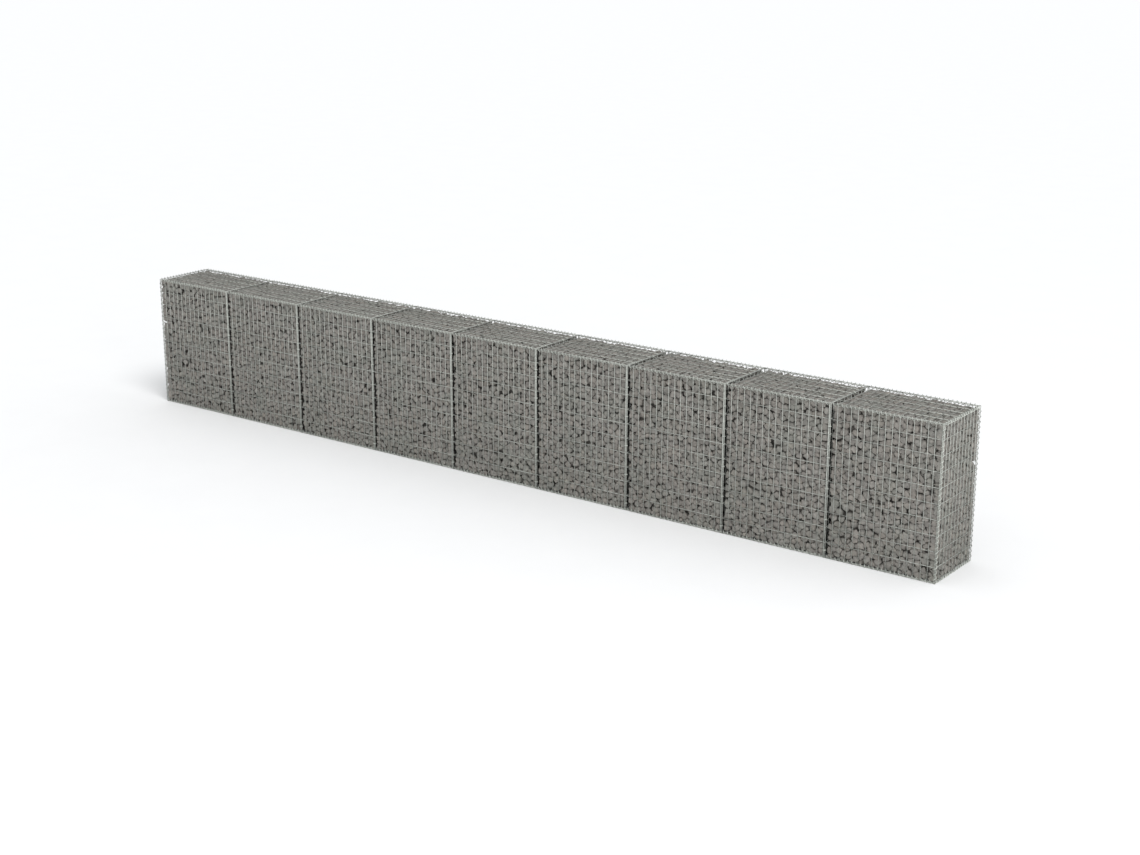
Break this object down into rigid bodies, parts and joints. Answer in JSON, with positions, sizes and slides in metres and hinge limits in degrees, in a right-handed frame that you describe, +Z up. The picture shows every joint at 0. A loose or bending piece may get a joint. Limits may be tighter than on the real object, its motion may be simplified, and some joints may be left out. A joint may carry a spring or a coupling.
{
  "type": "gabion wall",
  "caption": "Free-standing gabion wall: a row of welded wire mesh baskets on a shared base line, laced together, packed with broken stone and closed with mesh lids.",
  "frame": {"origin": "on the ground, under the middle of the wall's length and depth", "axes": "+X along the wall to the right as seen from the front, +Y from the front face to the back, +Z up"},
  "size_m": [6.7708, 0.5168, 1],
  "materials": {
    "wire": "zinc coated, dull",
    "lacing_wire": "zinc coated, dull",
    "stone": "rough broken stone, warm grey"
  },
  "bodies": {
    "root": {"front_panel_1": "wire", "front_panel_2": "wire", "front_panel_3": "wire", "front_panel_4": "wire", "front_panel_5": "wire", "front_panel_6": "wire", "front_panel_7": "wire", "front_panel_8": "wire", "front_panel_9": "wire", "back_panel_1": "wire", "back_panel_2": "wire", "back_panel_3": "wire", "back_panel_4": "wire", "back_panel_5": "wire", "back_panel_6": "wire", "back_panel_7": "wire", "back_panel_8": "wire", "back_panel_9": "wire", "lid_1": "wire", "lid_2": "wire", "lid_3": "wire", "lid_4": "wire", "lid_5": "wire", "lid_6": "wire", "lid_7": "wire", "lid_8": "wire", "lid_9": "wire", "base_panels": "wire", "left_end_panel": "wire", "right_end_panel": "wire", "partitions": "wire", "corner_spirals": "lacing_wire", "stone_fill_1": "stone", "stone_fill_2": "stone", "stone_fill_3": "stone", "stone_fill_4": "stone", "stone_fill_5": "stone", "stone_fill_6": "stone", "stone_fill_7": "stone", "stone_fill_8": "stone", "stone_fill_9": "stone"}
  },
  "joints": []
}
